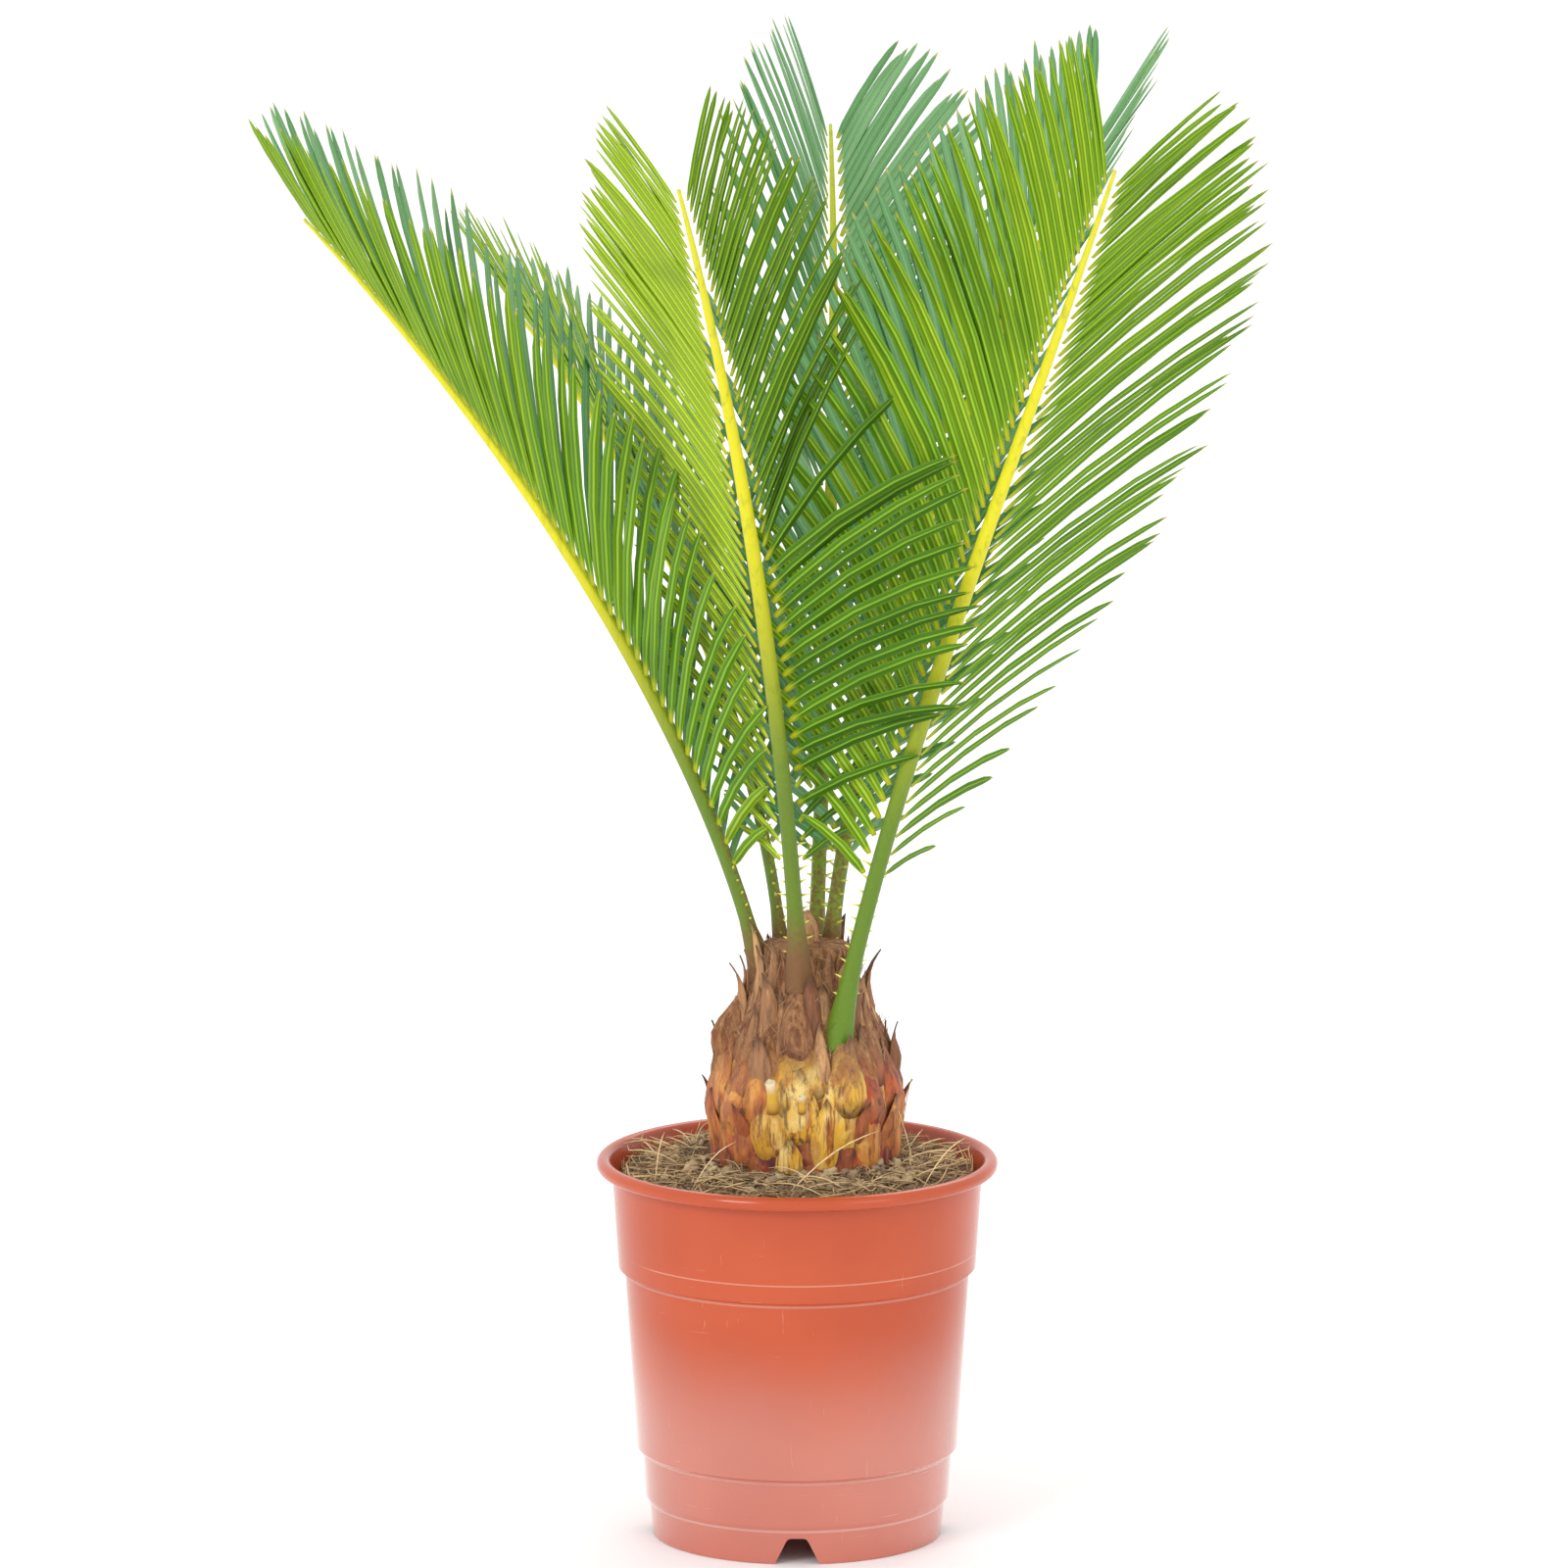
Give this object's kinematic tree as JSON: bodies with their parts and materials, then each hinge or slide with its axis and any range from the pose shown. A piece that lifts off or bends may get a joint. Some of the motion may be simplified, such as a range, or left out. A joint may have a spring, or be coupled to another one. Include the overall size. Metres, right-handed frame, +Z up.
{
  "type": "potted sago palm",
  "caption": "Potted young sago palm: swollen scaly trunk and arching feather-shaped fronds of narrow stiff leaflets, growing in soil in a stepped round plastic nursery pot.",
  "frame": {"origin": "centre of the pot's underside, on the plane that the pot stands on", "axes": "+Z up along the pot's axis, -Y towards the front of the plant, +X to the right seen from the front"},
  "size_m": [0.4235, 0.4767, 0.6695],
  "materials": {
    "terracotta_plastic": "glossy, lightly scratched",
    "coir_soil": "loose dry coconut fibre and peat",
    "caudex_bark": "rough, scaly and fibrous",
    "dry_scale": "dry and papery",
    "cut_leaf_base": "matt cut plant tissue",
    "leaf_stalk": "waxy",
    "leaflet_green": "glossy, leathery leaf"
  },
  "bodies": {
    "root": {"pot": "terracotta_plastic", "soil": "coir_soil", "caudex": "caudex_bark", "crown_bud": "dry_scale", "leaf_stub_1": "cut_leaf_base", "leaf_stub_2": "cut_leaf_base", "scale_01": "dry_scale", "scale_02": "dry_scale", "scale_03": "dry_scale", "scale_04": "dry_scale", "scale_05": "dry_scale", "scale_06": "dry_scale", "scale_07": "dry_scale", "scale_08": "dry_scale", "scale_09": "dry_scale", "scale_10": "dry_scale", "scale_11": "dry_scale", "scale_12": "dry_scale", "scale_13": "dry_scale", "scale_14": "dry_scale", "scale_15": "dry_scale", "scale_16": "dry_scale", "scale_17": "dry_scale", "scale_18": "dry_scale", "scale_19": "dry_scale", "frond_right_stem": "leaf_stalk", "frond_right_leaflets_left": "leaflet_green", "frond_right_leaflets_right": "leaflet_green", "frond_front_stem": "leaf_stalk", "frond_front_leaflets_left": "leaflet_green", "frond_front_leaflets_right": "leaflet_green", "frond_left_stem": "leaf_stalk", "frond_left_leaflets_left": "leaflet_green", "frond_left_leaflets_right": "leaflet_green", "frond_back_stem": "leaf_stalk", "frond_back_leaflets_left": "leaflet_green", "frond_back_leaflets_right": "leaflet_green", "frond_back_right_stem": "leaf_stalk", "frond_back_right_leaflets_left": "leaflet_green", "frond_back_right_leaflets_right": "leaflet_green", "frond_back_left_stem": "leaf_stalk", "frond_back_left_leaflets_left": "leaflet_green", "frond_back_left_leaflets_right": "leaflet_green"}
  },
  "joints": []
}
